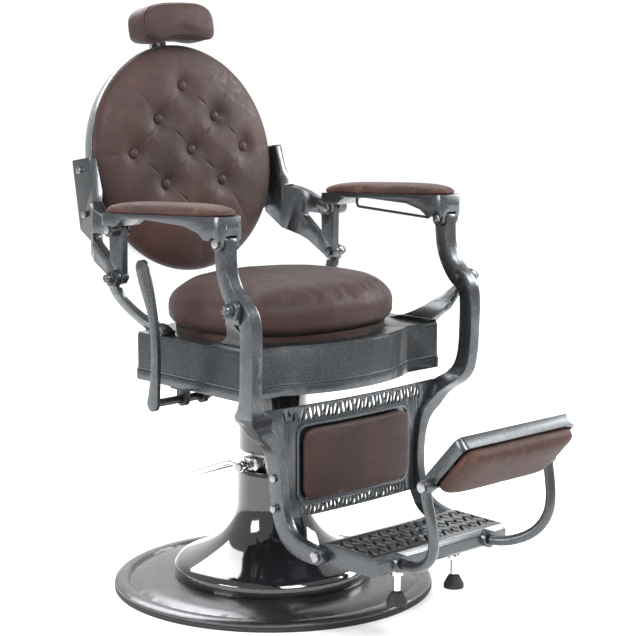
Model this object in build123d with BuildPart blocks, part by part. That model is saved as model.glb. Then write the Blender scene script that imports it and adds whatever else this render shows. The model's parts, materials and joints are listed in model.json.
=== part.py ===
from build123d import *
import os
from math import cos, hypot, radians, sin

# Hydraulic barber chair, modelled piece by piece in millimetres.
# The chair faces -Y, +Z is up and the origin is on the floor under the column's axis.
# "Left" and "right" are the sitter's own: the sitter's right hand is on -X.

# ---------------------------------------------------------------- driving dimensions
BASE_R = 330            # floor disc
RIM_Z = 18              # top of the disc's outer rim
GASKET_H = 9
BELL_R = 206            # foot of the flared cover
TUBE_R = 74             # straight neck of the flared cover
BELL_TOP = 250
HEAD_R = 68             # cylinder head above the pedal gap
HEAD_Z = (286, 330)
RAM_R = 25
RAM_TOP = 440           # shoulder that carries the swivel
PEDAL_Z = 262           # pump pedal's pivot
PEDAL_HALF = 84         # half the pedal's width at the pivot
PEDAL_REACH = 284        # short enough to pass under the swivelling legs
PEDAL_DROP = 86
PEDAL_BAR_R = 6

WING_X = 268            # half width of the seat frame
WING_FRONT, WING_REAR = -218, 112
BULGE_FRONT = (173, -262)   # half width and reach of the frame's bowed front
BULGE_REAR = (225, 168)
BOX_Z = (455, 550)
BOX_WALL = 9
CUSHION = (240, 208)    # half width and half depth of the oval seat cushion
CUSHION_Y = -27
CUSHION_H = 102

REAR_PIVOT = (130, 660)     # back arm on the seat's rear bracket (y, z)
REAR_PIN = (128, 757)       # armrest on the back arm
FRONT_PIVOT = (-250, 642)   # front leg on the seat's front bracket
FRONT_PIN = (-203, 760)     # armrest on the front leg
RAIL_X = 297                # side linkage's mid plane
LEG_T = 26                  # leg thickness at the pivot
GAP = 0.4                   # running gap between flat faces
PIN_R = 5
PIVOT_R = 6
FIT = 0.05                  # radial clearance of a running pin
ARM_PIN_HEAD = 8.5          # radius of the arm pins' heads
OPEN_FIT = 2.4              # extra radius where a closed loop is left open

BACK_TILT = 9.6             # recline of the back at rest
BACK_Y, BACK_Z = 283, 872   # centre of the back pan's front rim
BACK_R = 240
PAN_DEPTH = 30
BACK_PAD = 44               # crown of the back cushion in front of the rim

ARM_Y = (-220, 145)         # armrest front and rear
ARM_W = 62
ARM_TOP = (807, 828)        # height of the top face at rear and front
LEG_LOW_X = 187             # mid plane of the lower leg
PANEL_X = 176               # half width of the calf panel
PANEL_Y = -224
PANEL_Z = (214, 434)
PANEL_SAG = 16              # how far the panel bows forward
PANEL_T = 5
GRILLE_Z = (246, 392)       # calf pad's bottom and top, with scrollwork below and above
GRILLE_HALF = 146
RING_W = 8
PAD_CORNER = 16
SCROLL_PITCH = 42
FOOT_PIVOT = (-340, 167)    # footplate on the legs
PLATE_X = 196
PLATE_FRONT = -486
PLATE_Z = (152, 190)
TREAD_ROWS = (-372, -410, -448)     # pierced motifs of the footplate
TREAD_PITCH = 50
TREAD_H = 34
FLIP_PIVOT = (-598, 347)    # tilting foot pad
FLIP_X = 167
FLIP_BAR_R = 10         # cast arms that carry the foot pad
FLIP_ANGLE = 47
TRAY_HALF = 153
TRAY_L = 122
TRAY_T = 26
LEVELER_X, LEVELER_Y = 79, -440
LEVELER_R = 7
ARM_PAD_T = 18
TOWEL_Y = (58, -160)
TOWEL_R = 3
HEAD_HALF = 100         # headrest
HEAD_UP = (222, 324)    # bottom and top, measured up the back's slope from its centre
HEAD_OUT = (-54, 30)    # front and rear, measured square to the back
ARCH_GAP = 6            # between the headrest's arched underside and the back
HEAD_PIVOT_UP = 278
POST = (40, 8)
LEVER_X = 330           # recline lever
LEVER_AXIS = (-24, 432)

back_plane = Plane(
    origin=(0, BACK_Y, BACK_Z),
    x_dir=(1, 0, 0),
    z_dir=(0, -cos(radians(BACK_TILT)), sin(radians(BACK_TILT))),
)


# ---------------------------------------------------------------- helpers
def save(part, name):
    """Labels one finished piece and writes its STEP file."""
    part.label = name
    export_step(part, f"parts/{name}.step")


def strip_faces(points, widths):
    """A flat strip that follows points, as wide as widths says at each, with round ends."""
    left, right = [], []
    for i, here in enumerate(points):
        before = points[max(i - 1, 0)]
        after = points[min(i + 1, len(points) - 1)]
        run = (after[0] - before[0], after[1] - before[1])
        size = hypot(*run)
        across = (-run[1] / size * widths[i] / 2, run[0] / size * widths[i] / 2)
        left.append((here[0] + across[0], here[1] + across[1]))
        right.append((here[0] - across[0], here[1] - across[1]))
    with BuildSketch() as strip:
        with BuildLine():
            Spline(*left)
            Line(left[-1], right[-1])
            Spline(*right[::-1])
            Line(right[0], left[0])
        make_face()
        for end in (0, -1):
            with Locations(points[end]):
                Circle(widths[end] / 2)
    return strip.sketch


def two_sided(side, front, reach=420):
    """A casting whose side view (y, z) and front view (x, z) are both given, on the +X side."""
    with BuildPart() as casting:
        with BuildSketch(Plane.YZ):
            add(side)
        extrude(amount=reach)
        with BuildSketch(Plane.XZ.offset(-reach)):
            add(front)
        extrude(amount=2 * reach, mode=Mode.INTERSECT)
    return casting.part


def both_sides(part, name):
    """Writes a piece made on the +X side as its left and right copies."""
    save(part, f"{name}_left")
    save(part.mirror(Plane.YZ), f"{name}_right")


def pair_of(part, name):
    """Writes a piece made on the +X side together with its mirror image as one node."""
    with BuildPart() as pair:
        add(part)
        add(part.mirror(Plane.YZ))
    save(pair.part, name)


def bore_x(part, centre, radius, x_from, x_to):
    """Cuts a round hole along X through centre (y, z)."""
    with BuildPart() as bored:
        add(part)
        with BuildSketch(Plane.YZ.offset(x_from)):
            with Locations(centre):
                Circle(radius)
        extrude(amount=x_to - x_from, mode=Mode.SUBTRACT)
    return bored.part


def rod_x(spans, centre):
    """A turned piece along X: spans are (radius, x_from, x_to), centre is (y, z)."""
    with BuildPart() as rod:
        for radius, x_from, x_to in spans:
            with BuildSketch(Plane.YZ.offset(x_from)):
                with Locations(centre):
                    Circle(radius)
            extrude(amount=x_to - x_from)
    return rod.part


def tube_along(points, radius):
    """A round bar through points, bent on a smooth curve."""
    with BuildPart() as bar:
        with BuildLine() as path:
            Spline(*points)
        with BuildSketch(Plane(origin=path.line @ 0, z_dir=path.line % 0)):
            Circle(radius)
        sweep(path=path.line)
    return bar.part


# ---------------------------------------------------------------- floor base
def make_base():
    with BuildPart() as plate:
        with BuildSketch(Plane.XZ):
            with BuildLine():
                Polyline(
                    (60, 26), (BELL_R + 6, 26), (BASE_R - 46, 20), (BASE_R - 30, 13.5),
                    (BASE_R - 26, RIM_Z + 1), (BASE_R - 8, RIM_Z + 0.5), (BASE_R, RIM_Z - 4),
                    (BASE_R, GASKET_H), (BASE_R - 34, GASKET_H), (BASE_R - 50, 12),
                    (BELL_R, 18), (60, 18), (60, 26),
                )
            make_face()
        revolve(axis=Axis.Z)
        with BuildSketch():
            Circle(64)
        extrude(amount=26)
    save(plate.part, "base_plate")

    with BuildPart() as gasket:
        with BuildSketch():
            Circle(BASE_R + 1)
            Circle(BASE_R - 26, mode=Mode.SUBTRACT)
        extrude(amount=GASKET_H)
    save(gasket.part, "base_gasket")

    wall = 3
    outer = [(TUBE_R + 2, 185), (TUBE_R + 6, 155), (96, 122), (124, 94), (160, 74), (BELL_R - 8, 58)]
    with BuildPart() as bell:
        with BuildSketch(Plane.XZ):
            with BuildLine():
                Line((TUBE_R, BELL_TOP), (TUBE_R + 2, 185))
                Spline(*outer)
                Line(outer[-1], (BELL_R, 48))
                Line((BELL_R, 48), (BELL_R + 1, 26))
                Line((BELL_R + 1, 26), (BELL_R + 1 - wall, 26))
                Line((BELL_R + 1 - wall, 26), (BELL_R - wall, 46))
                Line((BELL_R - wall, 46), (BELL_R - 9, 54))
                Spline((BELL_R - 9, 54), (158, 70), (121, 90), (92, 119), (TUBE_R + 3, 153), (TUBE_R - 1, 185))
                Line((TUBE_R - 1, 185), (TUBE_R - wall, BELL_TOP))
                Line((TUBE_R - wall, BELL_TOP), (TUBE_R, BELL_TOP))
            make_face()
        revolve(axis=Axis.Z)
    save(bell.part, "bell_cover")

    with BuildPart() as cylinder:
        with BuildSketch(Plane.XY.offset(26)):
            Circle(58)
        extrude(amount=12)
        with BuildSketch(Plane.XY.offset(38)):
            Circle(46)
        extrude(amount=HEAD_Z[0] - 38)
        with BuildSketch(Plane.XY.offset(34)):
            Circle(36)
        extrude(amount=HEAD_Z[0] - 34, mode=Mode.SUBTRACT)
        with BuildSketch(Plane.XY.offset(PEDAL_Z - 14)):
            RectangleRounded(2 * 66, 44, 8)
            Circle(36, mode=Mode.SUBTRACT)
        extrude(amount=28)
        with BuildSketch(Plane.YZ.offset(-PEDAL_HALF)):
            with Locations((0, PEDAL_Z)):
                Circle(PIVOT_R)
        extrude(amount=2 * PEDAL_HALF, mode=Mode.SUBTRACT)
    save(cylinder.part, "pump_cylinder")

    with BuildPart() as head:
        with BuildSketch(Plane.XY.offset(HEAD_Z[0])):
            Circle(HEAD_R)
            Circle(RAM_R + FIT, mode=Mode.SUBTRACT)
        extrude(amount=HEAD_Z[1] - HEAD_Z[0])
        chamfer(head.edges().group_by(Axis.Z)[-1], 3)
    save(head.part, "cylinder_head")

    with BuildPart() as seal:
        with BuildSketch(Plane.XY.offset(HEAD_Z[1])):
            Circle(RAM_R + 9)
            Circle(RAM_R + FIT, mode=Mode.SUBTRACT)
        extrude(amount=5)
    save(seal.part, "ram_wiper_seal")


# ---------------------------------------------------------------- pump pedal
def make_pedal():
    ear = PEDAL_BAR_R + 0.5
    start = (PEDAL_HALF, 0, PEDAL_Z)
    knee = (PEDAL_HALF, 34, PEDAL_Z + 4)
    toe = (15, PEDAL_REACH, PEDAL_Z - PEDAL_DROP)
    right_side = [start, knee, toe]
    left_side = [(-x, y, z) for x, y, z in right_side[::-1]]
    with BuildPart() as pedal:
        with BuildLine() as path:
            FilletPolyline(*right_side, *left_side, radius=[40, 12, 12, 40])
        with BuildSketch(Plane(origin=path.line @ 0, z_dir=path.line % 0)):
            Circle(PEDAL_BAR_R)
        sweep(path=path.line)
        for side in (-1, 1):
            with BuildSketch(Plane.YZ.offset(side * PEDAL_HALF - ear)):
                with Locations((0, PEDAL_Z)):
                    Circle(11)
            extrude(amount=2 * ear)
        with BuildSketch(Plane.YZ.offset(-PEDAL_HALF - 10)):
            with Locations((0, PEDAL_Z)):
                Circle(PIVOT_R)
        extrude(amount=2 * PEDAL_HALF + 20, mode=Mode.SUBTRACT)
    save(pedal.part, "pump_pedal")

    head = PEDAL_HALF + ear + GAP
    pin = rod_x(
        [(9, head, head + 6), (PIVOT_R - FIT, 66, head), (PIVOT_R, 50, 66)],
        (0, PEDAL_Z),
    )
    with BuildPart() as pins:
        add(pin)
        add(pin.mirror(Plane.YZ))
    save(pins.part, "pedal_pivot_bolts")


# ---------------------------------------------------------------- lifting ram
def make_ram():
    with BuildPart() as ram:
        with BuildSketch(Plane.XY.offset(60)):
            Circle(RAM_R)
        extrude(amount=RAM_TOP - 60)
        with BuildSketch(Plane.XY.offset(RAM_TOP)):
            Circle(RAM_R - 6)
        extrude(amount=42)
    with BuildPart() as ram_piston:
        add(ram.part)
        with BuildSketch(Plane.XY.offset(112)):
            Circle(36 - FIT)
        extrude(amount=18)
    save(ram_piston.part, "lift_ram")

    with BuildPart() as sleeve:
        with BuildSketch(Plane.XY.offset(HEAD_Z[0] + 4)):
            Circle(HEAD_R + 4)
            Circle(HEAD_R + 1, mode=Mode.SUBTRACT)
        extrude(amount=RAM_TOP - HEAD_Z[0] - 4)
        with BuildSketch(Plane.XY.offset(RAM_TOP - 8)):
            Circle(HEAD_R + 2)
            Circle(RAM_R, mode=Mode.SUBTRACT)
        extrude(amount=8)
        chamfer(sleeve.edges().group_by(Axis.Z)[-1].sort_by(SortBy.RADIUS)[-1], 2)
    save(sleeve.part, "column_sleeve")

    with BuildPart() as washer:
        with BuildSketch(Plane.XY.offset(RAM_TOP)):
            Circle(44)
            Circle(RAM_R - 6, mode=Mode.SUBTRACT)
        extrude(amount=5)
    save(washer.part, "swivel_thrust_washer")


# ---------------------------------------------------------------- seat frame
def box_outline(grow):
    """Plan of the seat frame, bowed out at front and rear, grown by grow."""
    bow, front = BULGE_FRONT
    tail, rear = BULGE_REAR
    with BuildSketch() as plan:
        with BuildLine():
            Polyline((bow, WING_FRONT), (WING_X, WING_FRONT), (WING_X, WING_REAR), (tail, WING_REAR))
            ThreePointArc((tail, WING_REAR), (0, rear), (-tail, WING_REAR))
            Polyline((-tail, WING_REAR), (-WING_X, WING_REAR), (-WING_X, WING_FRONT), (-bow, WING_FRONT))
            ThreePointArc((-bow, WING_FRONT), (0, front), (bow, WING_FRONT))
        make_face()
        fillet([v for v in plan.vertices() if abs(v.X) > WING_X - 1], 12)
        offset(amount=grow, kind=Kind.INTERSECTION)
    return plan.sketch


def make_seat():
    outside, inside = box_outline(0), box_outline(-BOX_WALL)
    skirt, lip = box_outline(3), box_outline(-2)
    low, high = BOX_Z
    with BuildPart() as frame:
        with BuildSketch(Plane.XY.offset(low)):
            add(outside)
        extrude(amount=high - low - 4)
        with BuildSketch(Plane.XY.offset(low)):
            add(skirt)
        extrude(amount=20)
        with BuildSketch(Plane.XY.offset(high - 4)):
            add(lip)
        extrude(amount=4)
        with BuildSketch(Plane.XY.offset(low + 22)):
            add(box_outline(1.5))
        extrude(amount=3)
        with BuildSketch(Plane.XY.offset(low)):
            add(inside)
        extrude(amount=high - low - 8, mode=Mode.SUBTRACT)
        with BuildSketch(Plane.XY.offset(high - 8)):
            with Locations((0, CUSHION_Y)):
                Circle(30)
        extrude(amount=8, mode=Mode.SUBTRACT)
    save(frame.part, "seat_frame")

    with BuildPart() as hub:
        with BuildSketch(Plane.XY.offset(RAM_TOP + 5 + GAP)):
            Circle(44)
        extrude(amount=44)
        with BuildSketch(Plane.XY.offset(RAM_TOP + 49 + GAP)):
            RectangleRounded(180, 180, 12)
        extrude(amount=8)
        with BuildSketch(Plane.XY.offset(RAM_TOP)):
            Circle(RAM_R - 6 + FIT)
        extrude(amount=46, mode=Mode.SUBTRACT)
        with BuildSketch(Plane.XY.offset(RAM_TOP + 40)):
            with GridLocations(150, 150, 2, 2):
                Circle(5)
        extrude(amount=30, mode=Mode.SUBTRACT)
    save(hub.part, "swivel_hub")

    rail_z = RAM_TOP + 57 + GAP
    half = WING_X - BOX_WALL
    with BuildPart() as rails:
        for y in (-75, 75):
            with BuildSketch(Plane.YZ.offset(-half)):
                with Locations((y, rail_z + 20)):
                    Rectangle(40, 40)
                    Rectangle(34, 34, mode=Mode.SUBTRACT)
            extrude(amount=2 * half)
    save(rails.part, "cross_rails")

    with BuildPart() as bolts:
        with BuildSketch(Plane.XY.offset(RAM_TOP + 40)):
            with GridLocations(150, 150, 2, 2):
                RegularPolygon(8, 6)
        extrude(amount=9 + GAP)
        with BuildSketch(Plane.XY.offset(RAM_TOP + 49 + GAP)):
            with GridLocations(150, 150, 2, 2):
                Circle(5)
        extrude(amount=8)
    save(bolts.part, "hub_bolts")

    with BuildPart() as pan:
        with BuildSketch(Plane.XY.offset(high)):
            with Locations((0, CUSHION_Y)):
                Ellipse(CUSHION[0] - 12, CUSHION[1] - 16)
        extrude(amount=10)
    save(pan.part, "seat_board")

    half, depth = CUSHION
    crown = CUSHION_H - 10
    waist = 28
    with BuildPart() as cushion:
        with BuildSketch(Plane.XZ):
            with BuildLine():
                Line((0, 0), (half - 14, 0))
                ThreePointArc((half - 14, 0), (half - 3, 11), (half, waist))
                Spline(
                    (half, waist), (half * 0.955, waist + (crown - waist) * 0.5),
                    (half * 0.76, waist + (crown - waist) * 0.83), (0, crown),
                    tangents=[(0, 1), (-1, 0)],
                )
                Line((0, crown), (0, 0))
            make_face()
        revolve(axis=Axis.Z)
        scale(by=(1, depth / half, 1))
    save(cushion.part.moved(Location((0, CUSHION_Y, high + 10))), "seat_cushion")


# ---------------------------------------------------------------- brackets on the seat
def make_brackets():
    top = BOX_Z[1]
    boss = (RAIL_X + LEG_T / 2 + GAP, RAIL_X + LEG_T / 2 + 15)
    y, z = FRONT_PIVOT
    with BuildSketch() as side:
        with BuildLine():
            Line((-212, top), (-104, top))
            Spline((-104, top), (-170, top + 22), (y + 16, z - 6))
            Line((y + 16, z - 6), (y - 14, z - 6))
            Spline((y - 14, z - 6), (y + 2, z - 52), (-212, top))
        make_face()
        with Locations((y, z)):
            Circle(16)
    front = strip_faces([(250, top + 6), (262, top + 24), (298, z - 34), (boss[0] + 7, z)], [20, 18, 14, 14.2])
    with BuildSketch() as front_view:
        add(front)
        with Locations(((boss[0] + boss[1]) / 2, z)):
            Rectangle(boss[1] - boss[0], 36)
        with Locations((248, top + 4)):
            Rectangle(34, 8)
        with Locations((RAIL_X, top - 30)):
            Rectangle(300, 60, mode=Mode.SUBTRACT)
        with Locations((boss[0] - 20, z)):
            Rectangle(40, 40, mode=Mode.SUBTRACT)
    with BuildPart() as bracket:
        add(two_sided(side.sketch, front_view.sketch))
        with BuildSketch(Plane.YZ.offset(RAIL_X - LEG_T)):
            with Locations((y - 8, z - 30)):
                Rectangle(36, 90)
        extrude(amount=LEG_T * 1.5 + GAP, mode=Mode.SUBTRACT)
    pair_of(bore_x(bracket.part, FRONT_PIVOT, PIVOT_R, 280, 350), "front_brackets")

    y, z = REAR_PIVOT
    rear_boss = (RAIL_X + GAP, RAIL_X + 13)
    side = strip_faces([(44, top + 8), (74, top + 16), (112, top + 46), (132, z - 34), (y, z)], [30, 24, 24, 25, 30])
    with BuildSketch() as side_view:
        add(side)
        with Locations((40, top - 20)):
            Rectangle(200, 40, mode=Mode.SUBTRACT)
    front = strip_faces([(248, top + 6), (262, top + 24), (290, z - 40), (sum(rear_boss) / 2, z)], [22, 18, 13, 12.6])
    with BuildSketch() as front_view:
        add(front)
        with Locations((sum(rear_boss) / 2, z)):
            Rectangle(rear_boss[1] - rear_boss[0], 34)
        with Locations((248, top + 4)):
            Rectangle(34, 8)
        with Locations((rear_boss[0] - 20, z)):
            Rectangle(40, 40, mode=Mode.SUBTRACT)
    bracket = two_sided(side_view.sketch, front_view.sketch)
    pair_of(bore_x(bracket, REAR_PIVOT, PIVOT_R, 270, 350), "rear_brackets")

    for name, centre, inner, outer in (
        ("front_pivot_bolts", FRONT_PIVOT, RAIL_X - LEG_T / 2 - GAP, boss[1]),
        ("rear_pivot_bolts", REAR_PIVOT, RAIL_X - 16 - GAP, rear_boss[1]),
    ):
        bolt = rod_x([(9, inner - 7, inner), (PIVOT_R - FIT, inner, outer)], centre)
        with BuildPart() as acorn:
            with BuildSketch(Plane.YZ.offset(outer)):
                with Locations(centre):
                    RegularPolygon(12, 6)
            extrude(amount=7)
            with Locations((outer + 10, *centre)):
                Sphere(10)
            add(bolt)
        with BuildPart() as pair:
            add(acorn.part)
            add(acorn.part.mirror(Plane.YZ))
        save(pair.part, name)


# ---------------------------------------------------------------- back
def make_back():
    with BuildPart() as pan:
        with BuildSketch(back_plane):
            Circle(BACK_R)
        extrude(amount=-PAN_DEPTH, taper=12)
        with BuildSketch(back_plane):
            Circle(BACK_R - 4)
        extrude(amount=-PAN_DEPTH + 3, taper=12, mode=Mode.SUBTRACT)
    save(pan.part, "back_pan")

    with BuildPart() as board:
        with BuildSketch(back_plane.offset(-12)):
            Circle(BACK_R - 14)
        extrude(amount=12)
    save(board.part, "back_board")

    with BuildPart() as cushion:
        with BuildSketch(back_plane):
            Circle(BACK_R)
        extrude(amount=BACK_PAD)
        fillet(cushion.faces().sort_by(Axis((0, 0, 0), back_plane.z_dir))[-1].edges(), 26)
    save(cushion.part, "back_cushion")

    with BuildPart() as buttons:
        spots = [
            (0, 150), (-76, 82), (76, 82), (-148, 14), (0, 14), (148, 14), (-76, -54), (76, -54), (0, -122),
        ]
        with BuildSketch(back_plane.offset(BACK_PAD)):
            with Locations(*spots):
                Circle(11)
        extrude(amount=5)
    save(buttons.part, "back_buttons")

    y, z = REAR_PIVOT
    py, pz = REAR_PIN
    with BuildSketch() as side:
        with BuildLine():
            FilletPolyline(
                (py - 10, pz + 10), (178, 778), (238, 800), (264, 888), (322, 878), (298, 738), (236, 702), (168, 664),
                (y + 4, z - 14), (y - 14, z + 6), (py - 14, pz - 4),
                radius=5, close=True,
            )
        make_face()
        for spot, radius in ((REAR_PIN, 13), (REAR_PIVOT, 16)):
            with Locations(spot):
                Circle(radius)
        with BuildLine(mode=Mode.PRIVATE) as window:
            FilletPolyline((222, 742), (154, 742), (152, 690), radius=6, close=True)
        add(make_face(window.line, mode=Mode.PRIVATE), mode=Mode.SUBTRACT)
    with BuildPart() as arm:
        with BuildSketch(Plane.YZ.offset(200)):
            add(side.sketch)
        extrude(amount=120)
        with BuildSketch(Plane.XY.offset(640)):
            with BuildLine():
                Polyline(
                    (RAIL_X - 16, 100), (RAIL_X, 100), (RAIL_X, 206), (RAIL_X - 8, 226), (262, 250), (262, 330),
                    (245, 330), (245, 244), (RAIL_X - 24, 214), (RAIL_X - 16, 196), (RAIL_X - 16, 100),
                )
            make_face()
        extrude(amount=260, mode=Mode.INTERSECT)
    arm = bore_x(arm.part, REAR_PIVOT, PIVOT_R, 260, 320)
    arm = bore_x(arm, REAR_PIN, PIN_R, 260, 320)
    with BuildPart() as fitted:
        add(arm)
        with BuildSketch(back_plane):
            Circle(BACK_R + 1)
        extrude(amount=-PAN_DEPTH, mode=Mode.SUBTRACT)
        with BuildSketch(back_plane):
            Circle(BACK_R + 1)
        extrude(amount=BACK_PAD + 10, mode=Mode.SUBTRACT)
    both_sides(fitted.part, "back_arm")

    with BuildPart() as web:
        with BuildSketch(back_plane.offset(-PAN_DEPTH)):
            with BuildLine():
                FilletPolyline((150, -40), (245, 8), (245, -118), (176, -150), radius=8, close=True)
            make_face()
        extrude(amount=-6)
    pair_of(web.part, "back_webs")

    with BuildPart() as bolts:
        for side in (-1, 1):
            with BuildSketch(back_plane.offset(-PAN_DEPTH - 6)):
                with Locations((side * 180, -50), (side * 196, -118), (side * 224, -30)):
                    RegularPolygon(8, 6)
            extrude(amount=-5)
            with BuildSketch(Plane.YZ.offset(side * 262)):
                with Locations((296, 860), (282, 770)):
                    Circle(7)
            extrude(amount=side * 5)
    save(bolts.part, "back_bolts")


# ---------------------------------------------------------------- armrests
def arm_top(y):
    """Height of the armrest casting's top face at y."""
    share = (ARM_Y[1] - y) / (ARM_Y[1] - ARM_Y[0])
    return ARM_TOP[0] + share * (ARM_TOP[1] - ARM_TOP[0]) - ARM_PAD_T


def make_armrests():
    front, rear = ARM_Y
    with BuildPart() as rest:
        with BuildSketch(Plane.YZ.offset(RAIL_X - ARM_W / 2)):
            with BuildLine():
                FilletPolyline(
                    (rear, arm_top(rear)), (front, arm_top(front)), (front - 8, arm_top(front) - 20),
                    (front + 4, arm_top(front) - 46), (-178, 764), (-160, 776), (-118, 786), (0, 788), (66, 784), (96, 766),
                    (rear, 766),
                    radius=4, close=True,
                )
            make_face()
        extrude(amount=ARM_W)
        with BuildSketch(Plane.XY.offset(700)):
            with Locations((RAIL_X, (front + rear) / 2)):
                RectangleRounded(ARM_W, rear - front + 14, 24)
        extrude(amount=140, mode=Mode.INTERSECT)
        cheek = LEG_T / 2 + GAP
        for pivot, reach in ((FRONT_PIN, 15), (REAR_PIN, 15)):
            with BuildSketch(Plane.YZ.offset(RAIL_X - cheek - 9)):
                with Locations(pivot):
                    Circle(reach)
                with Locations((pivot[0], pivot[1] + 12)):
                    Rectangle(2 * reach, 24)
            extrude(amount=2 * cheek + 18)
        with BuildSketch(Plane.YZ.offset(RAIL_X - cheek)):
            with Locations(FRONT_PIN):
                Circle(23)
        extrude(amount=2 * cheek, mode=Mode.SUBTRACT)
        with BuildSketch(Plane.YZ.offset(RAIL_X - 16 - GAP)):
            with Locations(REAR_PIN):
                Circle(26)
        extrude(amount=16 + 2 * GAP, mode=Mode.SUBTRACT)
    part = rest.part
    face = LEG_T / 2 + GAP + 9
    for pivot, sink in ((FRONT_PIN, ARM_PIN_HEAD + OPEN_FIT + 0.6), (REAR_PIN, ARM_PIN_HEAD + 1.5)):
        part = bore_x(part, pivot, sink, RAIL_X + face, RAIL_X + 50)
        part = bore_x(part, pivot, sink, RAIL_X - 50, RAIL_X - face)
    part = bore_x(part, FRONT_PIN, PIN_R + OPEN_FIT, 250, 340)
    part = bore_x(part, REAR_PIN, PIN_R, 250, 340)
    with BuildPart() as drilled:
        add(part)
        with BuildSketch(Plane.XY.offset(764)):
            with Locations(*[(RAIL_X, y) for y in TOWEL_Y]):
                Circle(TOWEL_R)
        extrude(amount=26, mode=Mode.SUBTRACT)
    save(drilled.part, "armrest_left")
    save(part.mirror(Plane.YZ), "armrest_right")

    with BuildPart() as pad:
        with BuildSketch(Plane.YZ.offset(RAIL_X - ARM_W / 2 + 1)):
            with BuildLine():
                Polyline(
                    (rear - 6, arm_top(rear - 6)), (front + 6, arm_top(front + 6)),
                    (front + 6, arm_top(front) + 8), (front + 18, arm_top(front) + ARM_PAD_T),
                    (rear - 18, arm_top(rear) + ARM_PAD_T), (rear - 6, arm_top(rear) + 8),
                    (rear - 6, arm_top(rear - 6)),
                )
            make_face()
        extrude(amount=ARM_W - 2)
        chamfer(pad.faces().sort_by(Axis.Z)[-1].edges().filter_by(Axis.X, reverse=True), 8)
    both_sides(pad.part, "arm_pad")

    cheeks = (RAIL_X - LEG_T / 2 - GAP - 9, RAIL_X + LEG_T / 2 + GAP + 9)
    low, high = cheeks[0] - GAP, cheeks[1] + GAP
    for name, centre, tight in (
        ("front_arm_pins", FRONT_PIN, (RAIL_X - LEG_T / 2, RAIL_X + LEG_T / 2)),
        ("rear_arm_pins", REAR_PIN, (RAIL_X - 16, RAIL_X)),
    ):
        spans = [(PIN_R - FIT, low, high), (PIN_R, *tight), (ARM_PIN_HEAD, low - 4, low)]
        spans += [(ARM_PIN_HEAD, high, high + 4)]
        pair_of(rod_x(spans, centre), name)

    rear_y, front_y = TOWEL_Y
    with BuildPart() as towel:
        with BuildLine() as path:
            FilletPolyline(
                (RAIL_X, rear_y, 790), (RAIL_X, rear_y, 764), (RAIL_X, front_y, 757), (RAIL_X, front_y, 790),
                radius=8,
            )
        with BuildSketch(Plane(origin=path.line @ 0, z_dir=path.line % 0)):
            Circle(TOWEL_R)
        sweep(path=path.line)
    save(towel.part, "towel_bar")


# ---------------------------------------------------------------- legs and calf panel
def leg_front():
    """Front view (x, z) of the left leg's band."""
    z_top, z_mid = FRONT_PIN[1], FRONT_PIVOT[1]
    low = LEG_LOW_X
    return strip_faces(
        [
            (RAIL_X, z_top + 6), (RAIL_X, 690), (RAIL_X, z_mid), (RAIL_X, 560), (RAIL_X - 2, 480), (RAIL_X - 14, 440),
            (RAIL_X - 46, 414), (237, 396), (212, 374), (low + 8, 340), (low + 1, 290), (low, 230), (low, 140),
        ],
        [LEG_T, LEG_T, LEG_T, LEG_T, LEG_T, 29, 33, 32, 28, 22, 20, 18, 18],
    )


def make_legs():
    y_top, z_top = FRONT_PIN
    y_mid, z_mid = FRONT_PIVOT
    y_low, z_low = FOOT_PIVOT
    side = strip_faces(
        [
            (y_top, z_top), (y_top - 1, 738), (y_top - 6, 700), (y_top - 24, 664), (y_mid, z_mid),
            (y_mid - 19, z_mid - 20), (y_mid - 24, 598), (y_mid - 24, 560), (y_mid - 22, 510), (y_mid - 18, 470),
            (-256, 440), (-236, 420), (-226, 390), (-226, 340), (-228, 270), (-236, 226), (-256, 190),
            (-300, 170), (y_low, z_low),
        ],
        [34, 33, 32, 34, 38, 35, 33, 33, 33, 35, 38, 38, 36, 35, 35, 36, 38, 36, 32],
    )
    with BuildSketch() as front_view:
        add(leg_front())
        with Locations((RAIL_X, z_top)):
            Rectangle(LEG_T, 2 * 20)
        with Locations((LEG_LOW_X, z_low)):
            Rectangle(18, 40)
        for edge in (-1, 1):
            with Locations((LEG_LOW_X + edge * 18, z_low)):
                Rectangle(18, 110, mode=Mode.SUBTRACT)
    leg = two_sided(side, front_view.sketch, reach=500)
    leg = bore_x(leg, FRONT_PIN, PIN_R, 260, 330)
    leg = bore_x(leg, FRONT_PIVOT, PIVOT_R, 260, 330)
    leg = bore_x(leg, FOOT_PIVOT, PIVOT_R, 150, 220)
    for z in (PANEL_Z[0] + 24, PANEL_Z[0] + 84):
        leg = bore_x(leg, (-226, z), 4, 150, LEG_LOW_X + 12)
        leg = bore_x(leg, (-226, z), 7, LEG_LOW_X + 12, 220)
    both_sides(leg, "leg")


def panel_blank(half, z_from, z_to, back_off, thickness):
    """A plate bowed forward between the legs, back_off in front of the panel's rear face."""
    with BuildPart() as blank:
        with BuildSketch(Plane.XY.offset(z_from)):
            with BuildLine():
                ThreePointArc(
                    (-half, PANEL_Y - back_off), (0, PANEL_Y - PANEL_SAG - back_off), (half, PANEL_Y - back_off)
                )
                Line((half, PANEL_Y - back_off), (half, PANEL_Y - back_off - thickness))
                ThreePointArc(
                    (half, PANEL_Y - back_off - thickness),
                    (0, PANEL_Y - PANEL_SAG - back_off - thickness),
                    (-half, PANEL_Y - back_off - thickness),
                )
                Line((-half, PANEL_Y - back_off - thickness), (-half, PANEL_Y - back_off))
            make_face()
        extrude(amount=z_to - z_from)
    return blank.part


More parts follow.
